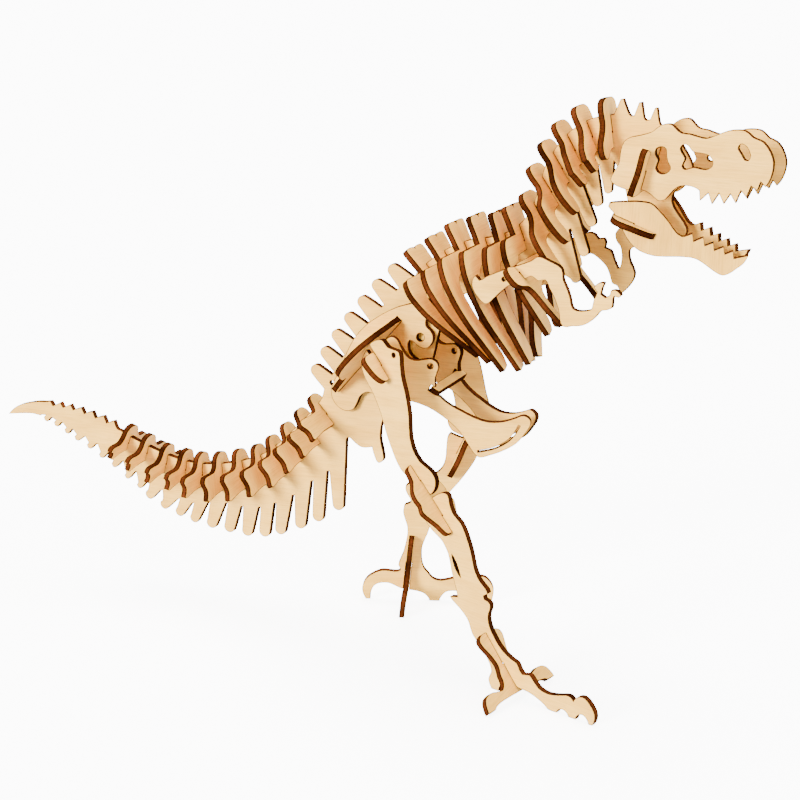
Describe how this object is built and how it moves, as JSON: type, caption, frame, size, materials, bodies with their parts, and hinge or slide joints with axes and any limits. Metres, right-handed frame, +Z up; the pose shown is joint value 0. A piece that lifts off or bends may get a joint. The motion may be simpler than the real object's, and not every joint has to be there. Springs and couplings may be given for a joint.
{
  "type": "wooden 3d jigsaw model",
  "caption": "Slot-together plywood skeleton of a walking two-legged dinosaur, built from flat plates with cross-halving slots; stands on its toes.",
  "frame": {"origin": "middle of the footprint of the bounding box, on the floor", "axes": "+X towards the snout, +Y towards the animal's left side, +Z up"},
  "size_m": [0.3788, 0.1178, 0.2451],
  "materials": {
    "plywood": "bare laser-cut birch plywood, matt"
  },
  "bodies": {
    "frame": {"spine_plate": "plywood", "shoulder_crossplate": "plywood", "arm_right": "plywood", "arm_left": "plywood", "skull_side_right": "plywood", "skull_side_left": "plywood", "skull_crossplate": "plywood", "jaw_side_right": "plywood", "jaw_side_left": "plywood", "jaw_crossplate": "plywood", "ilium_right": "plywood", "ilium_left": "plywood", "hip_shelf": "plywood", "pubis_right": "plywood", "pubis_left": "plywood", "pubis_spacer": "plywood", "hip_crossplate": "plywood", "femur_right": "plywood", "femur_left": "plywood", "lower_leg_right": "plywood", "lower_leg_left": "plywood", "knee_crossplate_right": "plywood", "knee_crossplate_left": "plywood", "toe_crossplate_right": "plywood", "toe_crossplate_left": "plywood"},
    "tail_vertebra_01": {"tail_vertebra_01": "plywood"},
    "tail_vertebra_02": {"tail_vertebra_02": "plywood"},
    "tail_vertebra_03": {"tail_vertebra_03": "plywood"},
    "tail_vertebra_04": {"tail_vertebra_04": "plywood"},
    "tail_vertebra_05": {"tail_vertebra_05": "plywood"},
    "tail_vertebra_06": {"tail_vertebra_06": "plywood"},
    "tail_vertebra_07": {"tail_vertebra_07": "plywood"},
    "tail_vertebra_08": {"tail_vertebra_08": "plywood"},
    "tail_vertebra_09": {"tail_vertebra_09": "plywood"},
    "tail_vertebra_10": {"tail_vertebra_10": "plywood"},
    "tail_vertebra_11": {"tail_vertebra_11": "plywood"},
    "tail_vertebra_12": {"tail_vertebra_12": "plywood"},
    "rib_01": {"rib_01": "plywood"},
    "rib_02": {"rib_02": "plywood"},
    "rib_03": {"rib_03": "plywood"},
    "rib_04": {"rib_04": "plywood"},
    "rib_05": {"rib_05": "plywood"},
    "rib_06": {"rib_06": "plywood"},
    "neck_vertebra_01": {"neck_vertebra_01": "plywood"},
    "neck_vertebra_02": {"neck_vertebra_02": "plywood"},
    "neck_vertebra_03": {"neck_vertebra_03": "plywood"},
    "neck_vertebra_04": {"neck_vertebra_04": "plywood"},
    "neck_vertebra_05": {"neck_vertebra_05": "plywood"},
    "neck_vertebra_06": {"neck_vertebra_06": "plywood"}
  },
  "joints": [
    {"name": "tail_vertebra_01_lift", "type": "slide", "parent": "frame", "child": "tail_vertebra_01", "axis": [0.309, 0, 0.9511], "range_m": [0, 0.0096]},
    {"name": "tail_vertebra_02_lift", "type": "slide", "parent": "frame", "child": "tail_vertebra_02", "axis": [0.2419, 0, 0.9703], "range_m": [0, 0.01]},
    {"name": "tail_vertebra_03_lift", "type": "slide", "parent": "frame", "child": "tail_vertebra_03", "axis": [0.1908, 0, 0.9816], "range_m": [0, 0.011]},
    {"name": "tail_vertebra_04_lift", "type": "slide", "parent": "frame", "child": "tail_vertebra_04", "axis": [0.1219, 0, 0.9925], "range_m": [0, 0.0114]},
    {"name": "tail_vertebra_05_lift", "type": "slide", "parent": "frame", "child": "tail_vertebra_05", "axis": [0.0349, 0, 0.9994], "range_m": [0, 0.0134]},
    {"name": "tail_vertebra_06_lift", "type": "slide", "parent": "frame", "child": "tail_vertebra_06", "axis": [-0.1045, 0, 0.9945], "range_m": [0, 0.015]},
    {"name": "tail_vertebra_07_lift", "type": "slide", "parent": "frame", "child": "tail_vertebra_07", "axis": [-0.2079, 0, 0.9781], "range_m": [0, 0.0156]},
    {"name": "tail_vertebra_08_lift", "type": "slide", "parent": "frame", "child": "tail_vertebra_08", "axis": [-0.2924, 0, 0.9563], "range_m": [0, 0.0158]},
    {"name": "tail_vertebra_09_lift", "type": "slide", "parent": "frame", "child": "tail_vertebra_09", "axis": [-0.4067, 0, 0.9135], "range_m": [0, 0.0164]},
    {"name": "tail_vertebra_10_lift", "type": "slide", "parent": "frame", "child": "tail_vertebra_10", "axis": [-0.5, 0, 0.866], "range_m": [0, 0.0158]},
    {"name": "tail_vertebra_11_lift", "type": "slide", "parent": "frame", "child": "tail_vertebra_11", "axis": [-0.6018, 0, 0.7986], "range_m": [0, 0.0156]},
    {"name": "tail_vertebra_12_lift", "type": "slide", "parent": "frame", "child": "tail_vertebra_12", "axis": [-0.682, 0, 0.7314], "range_m": [0, 0.0138]},
    {"name": "rib_01_lift", "type": "slide", "parent": "frame", "child": "rib_01", "axis": [-0.6626, 0, 0.749], "range_m": [0, 0.013]},
    {"name": "rib_02_lift", "type": "slide", "parent": "frame", "child": "rib_02", "axis": [-0.5519, 0, 0.8339], "range_m": [0, 0.013]},
    {"name": "rib_03_lift", "type": "slide", "parent": "frame", "child": "rib_03", "axis": [-0.4384, 0, 0.8988], "range_m": [0, 0.013]},
    {"name": "rib_04_lift", "type": "slide", "parent": "frame", "child": "rib_04", "axis": [-0.3584, 0, 0.9336], "range_m": [0, 0.013]},
    {"name": "rib_05_lift", "type": "slide", "parent": "frame", "child": "rib_05", "axis": [-0.2756, 0, 0.9613], "range_m": [0, 0.013]},
    {"name": "rib_06_lift", "type": "slide", "parent": "frame", "child": "rib_06", "axis": [-0.3746, 0, 0.9272], "range_m": [0, 0.013]},
    {"name": "neck_vertebra_01_lift", "type": "slide", "parent": "frame", "child": "neck_vertebra_01", "axis": [-0.5446, 0, 0.8387], "range_m": [0, 0.014]},
    {"name": "neck_vertebra_02_lift", "type": "slide", "parent": "frame", "child": "neck_vertebra_02", "axis": [-0.5878, 0, 0.809], "range_m": [0, 0.014]},
    {"name": "neck_vertebra_03_lift", "type": "slide", "parent": "frame", "child": "neck_vertebra_03", "axis": [-0.5592, 0, 0.829], "range_m": [0, 0.014]},
    {"name": "neck_vertebra_04_lift", "type": "slide", "parent": "frame", "child": "neck_vertebra_04", "axis": [-0.515, 0, 0.8572], "range_m": [0, 0.014]},
    {"name": "neck_vertebra_05_lift", "type": "slide", "parent": "frame", "child": "neck_vertebra_05", "axis": [-0.4226, 0, 0.9063], "range_m": [0, 0.014]},
    {"name": "neck_vertebra_06_lift", "type": "slide", "parent": "frame", "child": "neck_vertebra_06", "axis": [-0.1736, 0, 0.9848], "range_m": [0, 0.014]}
  ]
}
